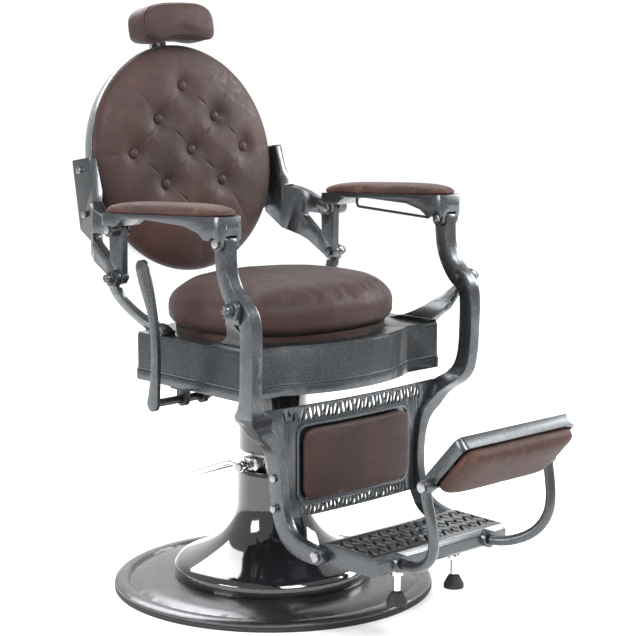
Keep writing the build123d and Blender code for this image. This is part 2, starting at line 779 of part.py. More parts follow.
def scrolls(pitch, height, way):
    """One motif of the pierced scrollwork: two leaning leaves, an eye, a bead and a pod."""
    with BuildSketch() as motif:
        for side in (-1, 1):
            with Locations(Location((side * pitch * 0.26, 0), -side * way * 14)):
                Ellipse(height * 0.13, height * 0.42)
        with Locations((0, way * height * 0.2)):
            Ellipse(pitch * 0.1, height * 0.24)
        with Locations((0, -way * height * 0.27)):
            Circle(pitch * 0.05)
        with Locations((pitch * 0.5, -way * height * 0.1)):
            Ellipse(pitch * 0.085, height * 0.34)
    return motif.sketch


def make_panel():
    low, high = PANEL_Z
    grille_low, grille_high = GRILLE_Z
    middle = (grille_low + grille_high) / 2
    wing = 238
    with BuildSketch() as outline:
        with BuildLine():
            Polyline(
                (-PANEL_X, low), (PANEL_X, low), (PANEL_X, 300), (LEG_LOW_X, 350), (212, 388), (wing, 414),
                (wing, high), (-wing, high), (-wing, 414), (-212, 388), (-LEG_LOW_X, 350), (-PANEL_X, 300),
                (-PANEL_X, low),
            )
        make_face()
        leg_band = leg_front()
        add(leg_band, mode=Mode.SUBTRACT)
        add(leg_band.mirror(Plane.YZ), mode=Mode.SUBTRACT)
    with BuildPart() as ring:
        add(panel_blank(wing, low, high, PANEL_T, 4))
        with BuildSketch(Plane.XZ.offset(200)):
            with Locations((0, middle)):
                RectangleRounded(
                    2 * (GRILLE_HALF + RING_W), grille_high - grille_low + 2 * RING_W, PAD_CORNER + RING_W
                )
                RectangleRounded(
                    2 * GRILLE_HALF + 0.6, grille_high - grille_low + 0.6, PAD_CORNER, mode=Mode.SUBTRACT
                )
        extrude(amount=120, mode=Mode.INTERSECT)
    with BuildPart() as panel:
        add(panel_blank(wing, low, high, 0, PANEL_T))
        with BuildSketch(Plane.XZ.offset(200)):
            add(outline.sketch)
        extrude(amount=120, mode=Mode.INTERSECT)
        add(ring.part)
        with BuildSketch(Plane.XY.offset(low)):
            with Locations((0, PANEL_Y + 8)):
                Rectangle(2 * PANEL_X, 38)
                Rectangle(2 * PANEL_X - 24, 38, mode=Mode.SUBTRACT)
        extrude(amount=high - low - 40)
        bands = ((grille_high + RING_W, high, 4), (low, grille_low - RING_W, 3))
        for band_low, band_high, count in bands:
            z = (band_low + band_high) / 2
            for way, first in ((1, -count), (-1, 1 - count)):
                motif = scrolls(SCROLL_PITCH, band_high - band_low - 2, way)
                with BuildSketch(Plane.XZ.offset(200)):
                    with Locations(*[(x * SCROLL_PITCH, z) for x in range(first, count + 1, 2)]):
                        add(motif)
                extrude(amount=120, mode=Mode.SUBTRACT)
    save(panel.part, "calf_panel")

    with BuildPart() as pad:
        add(panel_blank(wing, grille_low, grille_high, PANEL_T, 14))
        with BuildSketch(Plane.XZ.offset(200)):
            with Locations((0, middle)):
                RectangleRounded(2 * GRILLE_HALF, grille_high - grille_low, PAD_CORNER)
        extrude(amount=120, mode=Mode.INTERSECT)
    save(pad.part, "calf_pad")

    face = LEG_LOW_X + 12
    with BuildPart() as bolts:
        for side in (-1, 1):
            with BuildSketch(Plane.YZ.offset(side * PANEL_X)):
                with Locations((-226, low + 24), (-226, low + 84)):
                    Circle(4)
            extrude(amount=side * (face - PANEL_X))
            with BuildSketch(Plane.YZ.offset(side * face)):
                with Locations((-226, low + 24), (-226, low + 84)):
                    Circle(7)
            extrude(amount=side * 5)
    save(bolts.part, "panel_bolts")


# ---------------------------------------------------------------- footplate
def tread_holes(pitch, height):
    """One motif of the footplate's tread: paired leaves round a bead, with curls between."""
    with BuildSketch() as motif:
        for side in (-1, 1):
            with Locations(Location((side * pitch * 0.2, 0), side * 34)):
                Ellipse(height * 0.1, height * 0.36)
            with Locations(Location((side * pitch * 0.37, height * 0.16), side * -30)):
                Ellipse(height * 0.09, height * 0.26)
            with Locations((side * pitch * 0.36, -height * 0.3)):
                Circle(height * 0.1)
        with Locations((0, height * 0.28)):
            Circle(height * 0.13)
        with Locations((0, -height * 0.2)):
            Ellipse(height * 0.08, height * 0.2)
    return motif.sketch


def make_footplate():
    low, high = PLATE_Z
    inner = LEG_LOW_X - 9 - GAP
    with BuildPart() as plate:
        with BuildSketch(Plane.YZ.offset(-inner)):
            with BuildLine():
                FilletPolyline(
                    (-330, 150), (-322, 166), (-330, 186), (-352, 192), (PLATE_FRONT + 10, high),
                    (PLATE_FRONT, high - 10), (PLATE_FRONT, low + 8), (PLATE_FRONT + 8, low), (-360, low - 2),
                    radius=3, close=True,
                )
            make_face()
        extrude(amount=2 * inner)
        with BuildSketch(Plane.YZ.offset(-inner + 12)):
            with Locations(((PLATE_FRONT - 300) / 2 - 4, low - 2)):
                Rectangle(PLATE_FRONT * -1 - 300 - 20, 2 * (high - low - 9))
        extrude(amount=2 * inner - 24, mode=Mode.SUBTRACT)
        with BuildSketch(Plane.XY.offset(low)):
            with Locations(*[(x * TREAD_PITCH, y) for x in range(-3, 4) for y in TREAD_ROWS]):
                add(tread_holes(TREAD_PITCH, TREAD_H))
        extrude(amount=60, mode=Mode.SUBTRACT)
        for side in (-1, 1):
            with BuildSketch(Plane.XZ.offset(-PLATE_FRONT - 12)):
                with Locations((side * 121, 172)):
                    Circle(17)
            extrude(amount=22)
            with BuildSketch(Plane.XY.offset(low)):
                with Locations((side * LEVELER_X, LEVELER_Y)):
                    Circle(LEVELER_R + 6)
            extrude(amount=high - low - 4)
            with BuildSketch(Plane.XY.offset(low - 1)):
                with Locations((side * LEVELER_X, LEVELER_Y)):
                    Circle(LEVELER_R + FIT)
            extrude(amount=high - low - 6, mode=Mode.SUBTRACT)
        with BuildSketch(Plane.YZ.offset(-200)):
            with Locations(FOOT_PIVOT):
                Circle(PIVOT_R)
        extrude(amount=400, mode=Mode.SUBTRACT)
        with BuildSketch(Plane.XZ.offset(-PLATE_FRONT - 8)):
            with Locations((-121, 172), (121, 172)):
                Circle(6)
        extrude(amount=30, mode=Mode.SUBTRACT)
    save(plate.part, "footplate")

    bolt = rod_x(
        [(PIVOT_R - FIT, inner - 10, LEG_LOW_X + 10), (10, LEG_LOW_X + 9, LEG_LOW_X + 15)], FOOT_PIVOT
    )
    with BuildPart() as pair:
        add(bolt)
        add(bolt.mirror(Plane.YZ))
    save(pair.part, "footplate_pivot_bolts")

    for side, name in ((-1, "right"), (1, "left")):
        with BuildPart() as leveler:
            with BuildSketch(Plane.XY.offset(90)):
                with Locations((side * LEVELER_X, LEVELER_Y)):
                    Circle(LEVELER_R)
            extrude(amount=72)
            with BuildSketch(Plane.XY.offset(130)):
                with Locations((side * LEVELER_X, LEVELER_Y)):
                    RegularPolygon(12, 6)
                    Circle(LEVELER_R, mode=Mode.SUBTRACT)
            extrude(amount=8)
        save(leveler.part, f"leveler_screw_{name}")
        with BuildPart() as foot:
            with BuildSketch(Plane.XY.offset(72)):
                with Locations((side * LEVELER_X, LEVELER_Y)):
                    Circle(20)
            extrude(amount=8)
            with BuildSketch(Plane.XY.offset(80)):
                with Locations((side * LEVELER_X, LEVELER_Y)):
                    Circle(20)
            extrude(amount=16, taper=28)
            with BuildSketch(Plane.XY.offset(90)):
                with Locations((side * LEVELER_X, LEVELER_Y)):
                    Circle(LEVELER_R)
            extrude(amount=10, mode=Mode.SUBTRACT)
        save(foot.part, f"leveler_foot_{name}")


# ---------------------------------------------------------------- tilting foot pad
def make_flip_pad():
    y, z = FLIP_PIVOT
    front = PLATE_FRONT
    arm = tube_along(
        [
            (121, front - 13, 172), (124, front - 32, 173), (133, -552, 182), (147, -590, 206), (158, -609, 242),
            (164, -609, 280), (FLIP_X, -602, 315), (FLIP_X, y, z),
        ],
        FLIP_BAR_R,
    )
    with BuildPart() as fitted:
        add(arm)
        with BuildSketch(Plane.XZ.offset(-front - 8)):
            with Locations((121, 172)):
                Circle(6)
        extrude(amount=22)
        with BuildSketch(Plane.YZ.offset(FLIP_X - FLIP_BAR_R)):
            with Locations(FLIP_PIVOT):
                Circle(13)
        extrude(amount=2 * FLIP_BAR_R)
        with BuildSketch(Plane.YZ.offset(FLIP_X - FLIP_BAR_R)):
            with Locations(FLIP_PIVOT):
                Circle(PIN_R)
        extrude(amount=2 * FLIP_BAR_R + 10, mode=Mode.SUBTRACT)
        with BuildSketch(Plane.YZ.offset(FLIP_X + FLIP_BAR_R)):
            with Locations(FLIP_PIVOT):
                Circle(20)
        extrude(amount=10, mode=Mode.SUBTRACT)
        with BuildSketch(Plane.YZ.offset(FLIP_X - FLIP_BAR_R - 10)):
            with Locations(FLIP_PIVOT):
                Circle(20)
        extrude(amount=10, mode=Mode.SUBTRACT)
    pair_of(fitted.part, "flip_arms")

    tray_plane = Plane(
        origin=(0, y, z),
        x_dir=(1, 0, 0),
        z_dir=(0, sin(radians(FLIP_ANGLE)), cos(radians(FLIP_ANGLE))),
    )
    with BuildPart() as tray:
        with BuildSketch(tray_plane.offset(-4)):
            with Locations((0, -TRAY_L / 2 + 10)):
                RectangleRounded(2 * TRAY_HALF, TRAY_L, 14)
        extrude(amount=TRAY_T)
        with BuildSketch(tray_plane.offset(-5)):
            with Locations((0, -TRAY_L / 2 + 10)):
                RectangleRounded(2 * TRAY_HALF - 12, TRAY_L - 12, 9)
        extrude(amount=TRAY_T - 5, mode=Mode.SUBTRACT)
        for face in (-TRAY_HALF - 3, TRAY_HALF - 5):
            with BuildSketch(Plane.YZ.offset(face)):
                with Locations(FLIP_PIVOT):
                    Circle(10)
            extrude(amount=8)
        with BuildSketch(Plane.YZ.offset(-TRAY_HALF - 10)):
            with Locations(FLIP_PIVOT):
                Circle(PIN_R)
        extrude(amount=2 * TRAY_HALF + 20, mode=Mode.SUBTRACT)
    save(tray.part, "flip_tray")

    with BuildPart() as cushion:
        with BuildSketch(tray_plane.offset(-4)):
            with Locations((0, -TRAY_L / 2 + 10)):
                RectangleRounded(2 * TRAY_HALF - 13, TRAY_L - 13, 9)
        extrude(amount=TRAY_T - 6)
        with BuildSketch(tray_plane.offset(-4)):
            with Locations((0, -TRAY_L / 2 + 10)):
                RectangleRounded(2 * TRAY_HALF - 10, TRAY_L - 10, 9)
        extrude(amount=-30, taper=35)
        with BuildSketch(Plane.YZ.offset(-TRAY_HALF - 10)):
            with Locations(FLIP_PIVOT):
                Circle(PIN_R + 3)
        extrude(amount=2 * TRAY_HALF + 20, mode=Mode.SUBTRACT)
    save(cushion.part, "flip_cushion")

    head = FLIP_X + FLIP_BAR_R
    pin = rod_x([(PIN_R - FIT, TRAY_HALF - 8, head), (9, head, head + 5)], FLIP_PIVOT)
    with BuildPart() as pair:
        add(pin)
        add(pin.mirror(Plane.YZ))
    save(pair.part, "flip_pivot_pins")


# ---------------------------------------------------------------- headrest
def slope_plane(up, out):
    """A plane square to the back's slope at (up, out) from the back's centre, facing up the slope."""
    tilt = radians(BACK_TILT)
    return Plane(
        origin=(0, BACK_Y + up * sin(tilt) + out * cos(tilt), BACK_Z + up * cos(tilt) - out * sin(tilt)),
        x_dir=(1, 0, 0),
        z_dir=(0, sin(tilt), cos(tilt)),
    )


def make_headrest():
    width, thick = POST
    post_out = PAN_DEPTH + 13
    with BuildPart() as socket:
        with BuildSketch(slope_plane(150, post_out)):
            RectangleRounded(64, 26, 5)
            Rectangle(width + 2 * FIT, thick + 2 * FIT, mode=Mode.SUBTRACT)
        extrude(amount=60)
    save(socket.part, "headrest_socket")

    with BuildPart() as knob:
        with BuildSketch(back_plane.offset(-PAN_DEPTH - 26)):
            with Locations((0, 180)):
                Circle(5)
        extrude(amount=-10)
        with BuildSketch(back_plane.offset(-PAN_DEPTH - 36)):
            with Locations((0, 180)):
                RegularPolygon(16, 8)
        extrude(amount=-16)
    save(knob.part, "headrest_knob")

    pivot = slope_plane(HEAD_PIVOT_UP, post_out).origin
    centre = (pivot.Y, pivot.Z)
    with BuildPart() as post:
        with BuildSketch(slope_plane(60, post_out)):
            Rectangle(width, thick)
        extrude(amount=HEAD_PIVOT_UP - 60)
        with BuildSketch(Plane.YZ.offset(-width / 2)):
            with Locations(centre):
                Circle(9)
        extrude(amount=width)
        with BuildSketch(Plane.YZ.offset(-width)):
            with Locations(centre):
                Circle(PIN_R)
        extrude(amount=2 * width, mode=Mode.SUBTRACT)
    save(post.part, "headrest_post")

    front, rear = HEAD_OUT
    low, high = HEAD_UP
    with BuildPart() as bracket:
        with BuildSketch(slope_plane(HEAD_PIVOT_UP - 24, (rear + post_out - 10) / 2)):
            Rectangle(width + 60, post_out - 10 - rear)
        extrude(amount=48)
        for side in (-1, 1):
            with BuildSketch(Plane.YZ.offset(side * (width / 2 + GAP))):
                with Locations(centre):
                    Circle(9)
            extrude(amount=side * 6)
            with BuildSketch(slope_plane(HEAD_PIVOT_UP - 8, (rear + post_out) / 2)):
                with Locations((side * (width / 2 + GAP + 3), 0)):
                    Rectangle(6, post_out - rear)
            extrude(amount=16)
        with BuildSketch(Plane.YZ.offset(-width)):
            with Locations(centre):
                Circle(PIN_R)
        extrude(amount=2 * width, mode=Mode.SUBTRACT)
    save(bracket.part, "headrest_bracket")

    end = width / 2 + GAP + 6
    save(
        rod_x([(9, -end - 4, -end), (PIN_R - FIT, -end, end), (9, end, end + 4)], centre),
        "headrest_pivot_pin",
    )

    depth = rear - front
    with BuildPart() as cushion:
        with BuildSketch(slope_plane(low, (front + rear) / 2)):
            RectangleRounded(2 * HEAD_HALF, depth, 18)
        extrude(amount=high - low)
        fillet(cushion.edges().group_by(Axis((0, 0, 0), slope_plane(0, 0).z_dir))[-1], 22)
        with BuildSketch(back_plane.offset(-60)):
            Circle(BACK_R + ARCH_GAP)
        extrude(amount=160, mode=Mode.SUBTRACT)
    save(cushion.part, "headrest_cushion")


# ---------------------------------------------------------------- recline lever
def make_lever():
    y, z = LEVER_AXIS
    route = [
        (y, z), (y - 8, z + 60), (y - 9, z + 120), (y - 1, z + 176), (y + 14, z + 222), (y + 28, z + 262),
    ]
    side = strip_faces(route, [30, 21, 19, 21, 30, 33])
    with BuildPart() as lever:
        with BuildSketch(Plane.YZ.offset(-LEVER_X - 5)):
            add(side)
        extrude(amount=9)
    with BuildPart() as handle:
        add(lever.part)
        add(rod_x([(8, -LEVER_X, -190)], LEVER_AXIS))
    save(handle.part, "recline_lever")

    with BuildPart() as bracket:
        with BuildSketch(Plane.XY.offset(BOX_Z[0] - 4)):
            with Locations((-232, y)):
                RectangleRounded(74, 56, 5)
        extrude(amount=4)
        with BuildSketch(Plane.YZ.offset(-262)):
            with Locations(LEVER_AXIS):
                Circle(14)
            with Locations((y, z + 10)):
                Rectangle(28, 18)
        extrude(amount=12)
        with BuildSketch(Plane.YZ.offset(-214)):
            with Locations(LEVER_AXIS):
                Circle(14)
            with Locations((y, z + 10)):
                Rectangle(28, 18)
        extrude(amount=12)
        with BuildSketch(Plane.YZ.offset(-300)):
            with Locations(LEVER_AXIS):
                Circle(8 + FIT)
        extrude(amount=150, mode=Mode.SUBTRACT)
    save(bracket.part, "lever_bracket")

    with BuildPart() as nuts:
        with BuildSketch(Plane.XY.offset(BOX_Z[0] - 12)):
            with Locations((-226, y - 22), (-226, y + 22)):
                RegularPolygon(5, 6)
        extrude(amount=8)
    save(nuts.part, "lever_bracket_nuts")


os.makedirs("parts", exist_ok=True)
make_base()
make_pedal()
make_ram()
make_seat()
make_brackets()
make_back()
make_armrests()
make_legs()
make_panel()
make_footplate()
make_flip_pad()
make_headrest()
make_lever()
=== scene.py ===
"""Barber chair: the visual pieces, materials, light and camera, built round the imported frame."""

import json
import math

import bmesh
import bpy
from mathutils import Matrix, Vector, noise


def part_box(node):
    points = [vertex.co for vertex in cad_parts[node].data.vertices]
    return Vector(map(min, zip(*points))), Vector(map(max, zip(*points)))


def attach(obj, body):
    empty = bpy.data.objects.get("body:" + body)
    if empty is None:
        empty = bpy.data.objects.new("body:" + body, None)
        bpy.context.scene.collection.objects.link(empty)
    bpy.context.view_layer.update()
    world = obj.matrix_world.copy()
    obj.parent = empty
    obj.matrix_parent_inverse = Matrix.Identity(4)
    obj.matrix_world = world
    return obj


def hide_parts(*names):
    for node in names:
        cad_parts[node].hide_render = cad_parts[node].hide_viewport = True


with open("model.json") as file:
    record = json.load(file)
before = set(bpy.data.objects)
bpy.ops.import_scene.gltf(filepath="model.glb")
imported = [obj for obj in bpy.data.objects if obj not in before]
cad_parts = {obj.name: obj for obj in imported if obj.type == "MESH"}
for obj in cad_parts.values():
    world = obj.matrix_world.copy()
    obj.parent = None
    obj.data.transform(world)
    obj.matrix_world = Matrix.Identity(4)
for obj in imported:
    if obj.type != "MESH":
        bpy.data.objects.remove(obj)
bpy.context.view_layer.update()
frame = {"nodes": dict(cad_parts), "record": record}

bl_info = {
    "name": "Barber Chair",
    "version": (1, 0, 0),
    "blender": (4, 5, 0),
    "location": "View3D > Sidebar > Barber Chair",
    "description": "Builds the upholstery, castings and finishes of a hydraulic barber chair",
    "category": "Add Mesh",
}

NODES = frame["nodes"]
BACK_TILT = math.radians(9.6)
BACK_CENTRE = Vector((0, 0.283, 0.872))
ARM_SLOPE = math.atan2(0.021, 0.365)
FLIP_SLOPE = math.radians(47)
FLIP_PIVOT = Vector((0, -0.598, 0.347))
FLIP_HALF = (0.1475, 0.0565)
HEAD_HALF, HEAD_TOP, HEAD_HINGE = 0.094, 0.3235, 0.275
HEAD_FRONT, HEAD_REAR = -0.0490, 0.030
ARCH_TOP, ARCH_DROP = 0.251, 0.020
CALF_BOW = 0.0062
BUTTON_PROFILE = [
    (0.0, 0.0062), (0.35, 0.0058), (0.62, 0.0047), (0.84, 0.0030), (0.97, 0.0010), (1.0, -0.0008),
    (0.9, -0.0022),
]
BUTTON_SIDES = 28
STAGE_TURN = math.radians(-43)
CAMERA_SPOT = (-2.56668, -2.88260, 1.20387)
CAMERA_PITCH, CAMERA_TURN = math.radians(90 - 9.473), math.radians(-43.065)
FOCAL_PX, IMAGE_PX, SENSOR_MM = 1908.3, 636, 36
BACK_UP = Vector((0, math.sin(BACK_TILT), math.cos(BACK_TILT)))
BACK_OUT = Vector((0, math.cos(BACK_TILT), -math.sin(BACK_TILT)))
BUTTONS = [
    (0, 0.150), (-0.076, 0.082), (0.076, 0.082), (-0.148, 0.014), (0, 0.014),
    (0.148, 0.014), (-0.076, -0.054), (0.076, -0.054), (0, -0.122),
]
CREASES = [
    (0, 1), (0, 2), (1, 3), (1, 4), (2, 4), (2, 5), (3, 6), (4, 6), (4, 7), (5, 7), (6, 8), (7, 8),
]
RIM_CREASES = [
    (0, (-0.006, 0.232)), (1, (-0.150, 0.178)), (2, (0.142, 0.184)), (3, (-0.236, 0.012)),
    (5, (0.236, 0.014)), (6, (-0.150, -0.165)), (7, (0.150, -0.168)), (8, (0.006, -0.222)),
]


# ------------------------------------------------------------------ settings
class ChairSizes(bpy.types.PropertyGroup):
    seat_crown: bpy.props.FloatProperty(
        name="Seat crown", description="Height of the seat cushion's crown over its board",
        default=0.092, unit="LENGTH", min=0.06, max=0.095,
    )
    button_radius: bpy.props.FloatProperty(
        name="Button radius", description="Radius of the covered buttons in the back",
        default=0.0122, unit="LENGTH", min=0.006, max=0.014,
    )
    tuft_depth: bpy.props.FloatProperty(
        name="Tuft depth", description="How far each button is drawn into the back",
        default=0.015, unit="LENGTH", min=0.004, max=0.024,
    )
    edge_round: bpy.props.FloatProperty(
        name="Edge rounding", description="Rounding on the castings' edges",
        default=0.0012, unit="LENGTH", min=0.0002, max=0.003,
    )


class ChairColours(bpy.types.PropertyGroup):
    leather: bpy.props.FloatVectorProperty(
        name="Leather", description="Main colour of the seat, back, headrest and calf pad",
        default=(0.030, 0.0125, 0.0105), subtype="COLOR", size=3, min=0, max=1,
    )
    worn_leather: bpy.props.FloatVectorProperty(
        name="Worn leather", description="Colour where the leather is rubbed",
        default=(0.075, 0.040, 0.035), subtype="COLOR", size=3, min=0, max=1,
    )
    tan_leather: bpy.props.FloatVectorProperty(
        name="Redder leather", description="Main colour of the arm pads and the flip-over pad",
        default=(0.040, 0.0150, 0.0105), subtype="COLOR", size=3, min=0, max=1,
    )
    casting: bpy.props.FloatVectorProperty(
        name="Casting paint", description="Hammered grey of the castings",
        default=(0.074, 0.080, 0.085), subtype="COLOR", size=3, min=0, max=1,
    )
    silver: bpy.props.FloatVectorProperty(
        name="Silver paint", description="Lacquer of the back's shell",
        default=(0.24, 0.25, 0.26), subtype="COLOR", size=3, min=0, max=1,
    )


# ------------------------------------------------------------------ materials
def new_material(name):
    """An empty material with a Principled shader; returns (material, tree, shader)."""
    material = bpy.data.materials.new(name)
    material.use_nodes = True
    tree = material.node_tree
    return material, tree, tree.nodes["Principled BSDF"]


def place(tree, kind, **values):
    """Adds a node and sets its sockets by name, or its settings where no socket has that name."""
    node = tree.nodes.new(kind)
    for key, value in values.items():
        if key in node.inputs:
            node.inputs[key].default_value = value
        else:
            setattr(node, key, value)
    return node


def colour_ramp(tree, factor, stops):
    """A ramp between (position, colour) stops, driven by factor."""
    ramp = tree.nodes.new("ShaderNodeValToRGB")
    while len(ramp.color_ramp.elements) < len(stops):
        ramp.color_ramp.elements.new(0.5)
    for element, (position, colour) in zip(ramp.color_ramp.elements, stops):
        element.position = position
        element.color = (*colour, 1) if len(colour) == 3 else colour
    tree.links.new(factor, ramp.inputs["Fac"])
    return ramp.outputs["Color"]


def grey(value):
    """The neutral colour of that value."""
    return (value, value, value)


def hammered_paint(name, colour, rough=0.30, metal=0.9, dimple=0.30, scale=420, sparkle=2.8):
    """Metallic paint with a fine hammered texture and light flakes."""
    material, tree, shader = new_material(name)
    links = tree.links
    where = tree.nodes.new("ShaderNodeTexCoord").outputs["Object"]
    cells = place(tree, "ShaderNodeTexVoronoi", Scale=scale, feature="SMOOTH_F1", Smoothness=0.6)
    flakes = place(tree, "ShaderNodeTexNoise", Scale=scale * 2.2, Detail=3.0)
    cloud = place(tree, "ShaderNodeTexNoise", Scale=9.0, Detail=3.0)
    for node in (cells, flakes, cloud):
        links.new(where, node.inputs["Vector"])
    dark = tuple(c * 0.62 for c in colour)
    light = tuple(min(1, c * sparkle) for c in colour)
    mottled = colour_ramp(tree, flakes.outputs["Fac"], [(0.34, dark), (0.52, colour), (0.7, light)])
    links.new(mottled, shader.inputs["Base Color"])
    shine = colour_ramp(tree, cloud.outputs["Fac"], [(0.3, grey(rough - 0.05)), (0.7, grey(rough + 0.07))])
    links.new(shine, shader.inputs["Roughness"])
    bump = place(tree, "ShaderNodeBump", Strength=dimple, Distance=0.0006)
    links.new(cells.outputs["Distance"], bump.inputs["Height"])
    links.new(bump.outputs["Normal"], shader.inputs["Normal"])
    shader.inputs["Metallic"].default_value = metal
    shader.inputs["Coat Weight"].default_value = 0.25
    shader.inputs["Coat Roughness"].default_value = 0.16
    return material


def smooth_metal(name, colour, rough, metal=1.0, coat=0.0, streak=0.05):
    """Bare, plated or lacquered metal with faint uneven polish."""
    material, tree, shader = new_material(name)
    where = tree.nodes.new("ShaderNodeTexCoord").outputs["Object"]
    cloud = place(tree, "ShaderNodeTexNoise", Scale=26.0, Detail=5.0)
    tree.links.new(where, cloud.inputs["Vector"])
    low, high = max(0.02, rough - streak), rough + streak
    shine = colour_ramp(tree, cloud.outputs["Fac"], [(0.3, grey(low)), (0.7, grey(high))])
    tree.links.new(shine, shader.inputs["Roughness"])
    tone = colour_ramp(tree, cloud.outputs["Fac"], [(0.3, tuple(c * 0.9 for c in colour)), (0.7, colour)])
    tree.links.new(tone, shader.inputs["Base Color"])
    shader.inputs["Metallic"].default_value = metal
    shader.inputs["Coat Weight"].default_value = coat
    shader.inputs["Coat Roughness"].default_value = 0.04
    return material


def moulded(name, colour, rough, grain=0.15, scale=900):
    """Rubber, moulded plastic or dull black paint with a fine grain."""
    material, tree, shader = new_material(name)
    where = tree.nodes.new("ShaderNodeTexCoord").outputs["Object"]
    specks = place(tree, "ShaderNodeTexNoise", Scale=scale, Detail=2.0)
    tree.links.new(where, specks.inputs["Vector"])
    tone = colour_ramp(tree, specks.outputs["Fac"], [(0.35, tuple(c * 0.8 for c in colour)), (0.65, colour)])
    tree.links.new(tone, shader.inputs["Base Color"])
    bump = place(tree, "ShaderNodeBump", Strength=grain, Distance=0.0004)
    tree.links.new(specks.outputs["Fac"], bump.inputs["Height"])
    tree.links.new(bump.outputs["Normal"], shader.inputs["Normal"])
    shader.inputs["Roughness"].default_value = rough
    return material


def old_leather(name, colour, worn, amount=0.5, rough=0.56):
    """Distressed leather: pebbled grain, soft cloudy wear and fine cracks that catch the light."""
    material, tree, shader = new_material(name)
    links = tree.links
    where = tree.nodes.new("ShaderNodeTexCoord").outputs["Object"]
    cloud = place(tree, "ShaderNodeTexNoise", Scale=7.0, Detail=5.0, Roughness=0.62, Distortion=0.5)
    scuff = place(tree, "ShaderNodeTexNoise", Scale=34.0, Detail=6.0, Roughness=0.72, Distortion=1.2)
    pebble = place(tree, "ShaderNodeTexVoronoi", Scale=330.0, feature="DISTANCE_TO_EDGE")
    crackle = place(tree, "ShaderNodeTexVoronoi", Scale=62.0, feature="DISTANCE_TO_EDGE")
    warp = place(tree, "ShaderNodeTexNoise", Scale=22.0, Detail=3.0)
    shift = tree.nodes.new("ShaderNodeVectorMath")
    shift.operation = "MULTIPLY_ADD"
    shift.inputs[1].default_value = (0.03, 0.03, 0.03)
    for node in (cloud, scuff, pebble, warp):
        links.new(where, node.inputs["Vector"])
    links.new(warp.outputs["Color"], shift.inputs[0])
    links.new(where, shift.inputs[2])
    links.new(shift.outputs["Vector"], crackle.inputs["Vector"])
    deep = tuple(c * 0.66 for c in colour)
    pale = tuple(c * 1.5 for c in colour)
    base = colour_ramp(tree, cloud.outputs["Fac"], [(0.32, deep), (0.50, colour), (0.68, pale)])
    rubbed = [(0.60 - 0.10 * amount, grey(0)), (0.80 - 0.12 * amount, grey(0.42 + 0.4 * amount))]
    mask = colour_ramp(tree, scuff.outputs["Fac"], rubbed)
    mix = tree.nodes.new("ShaderNodeMix")
    mix.data_type = "RGBA"
    mix.inputs[7].default_value = (*worn, 1)
    links.new(mask, mix.inputs[0])
    links.new(base, mix.inputs[6])
    line = colour_ramp(tree, crackle.outputs["Distance"], [(0.0, grey(0.62)), (0.035, grey(1))])
    cracked = tree.nodes.new("ShaderNodeMix")
    cracked.data_type = "RGBA"
    cracked.blend_type = "MULTIPLY"
    cracked.inputs[0].default_value = 0.25 + 0.4 * amount
    links.new(mix.outputs[2], cracked.inputs[6])
    links.new(line, cracked.inputs[7])
    links.new(cracked.outputs[2], shader.inputs["Base Color"])
    shine = colour_ramp(tree, scuff.outputs["Fac"], [(0.35, grey(rough - 0.08)), (0.7, grey(rough + 0.14))])
    links.new(shine, shader.inputs["Roughness"])
    fine = place(tree, "ShaderNodeBump", Strength=0.30, Distance=0.0005)
    coarse = place(tree, "ShaderNodeBump", Strength=0.22, Distance=0.0016)
    links.new(pebble.outputs["Distance"], fine.inputs["Height"])
    links.new(scuff.outputs["Fac"], coarse.inputs["Height"])
    links.new(fine.outputs["Normal"], coarse.inputs["Normal"])
    links.new(coarse.outputs["Normal"], shader.inputs["Normal"])
    shader.inputs["Sheen Weight"].default_value = 0.06
    shader.inputs["Sheen Roughness"].default_value = 0.5
    shader.inputs["Specular IOR Level"].default_value = 0.30
    return material


def material(name):
    """The finish of that name, made when it is first asked for."""
    if name in bpy.data.materials:
        return bpy.data.materials[name]
    c = bpy.context.scene.chair_colours
    makers = {
        "Hammered grey": lambda: hammered_paint(name, tuple(c.casting)),
        "Silver shell": lambda: hammered_paint(
            name, tuple(c.silver), rough=0.30, metal=0.85, dimple=0.08, sparkle=1.2
        ),
        "Satin base": lambda: hammered_paint(
            name, (0.088, 0.091, 0.096), rough=0.26, metal=0.9, dimple=0.10, sparkle=1.5
        ),
        "Gloss black": lambda: smooth_metal(
            name, (0.010, 0.010, 0.012), 0.09, metal=0.0, coat=1.0, streak=0.02
        ),
        "Polished chrome": lambda: smooth_metal(name, (0.82, 0.83, 0.85), 0.07),
        "Machined steel": lambda: smooth_metal(name, (0.52, 0.52, 0.53), 0.26),
        "Zinc plate": lambda: smooth_metal(name, (0.36, 0.36, 0.37), 0.28),
        "Bronze washer": lambda: smooth_metal(name, (0.55, 0.36, 0.18), 0.3),
        "Black frame paint": lambda: moulded(name, (0.018, 0.018, 0.019), 0.42),
        "Black rubber": lambda: moulded(name, (0.014, 0.014, 0.014), 0.62),
        "Black plastic": lambda: moulded(name, (0.02, 0.02, 0.02), 0.45),
        "Brown leather": lambda: old_leather(name, tuple(c.leather), tuple(c.worn_leather), 0.32),
        "Button leather": lambda: old_leather(
            name, tuple(x * 0.86 for x in c.leather), tuple(c.worn_leather), 0.25
        ),
        "Redder leather": lambda: old_leather(
            name, tuple(c.tan_leather), (0.105, 0.052, 0.036), 0.9, rough=0.62
        ),
    }
    return makers[name]()


# ------------------------------------------------------------------ shared mesh work
def mesh_piece(name, vertices, faces, finish, body):
    """A smooth-shaded mesh piece that rides on a body."""
    mesh = bpy.data.meshes.new(name)
    mesh.from_pydata([tuple(v) for v in vertices], [], faces)
    mesh.validate()
    mesh.shade_smooth()
    obj = bpy.data.objects.new(name, mesh)
    bpy.context.scene.collection.objects.link(obj)
    obj.data.materials.append(material(finish))
    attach(obj, body)
    return obj


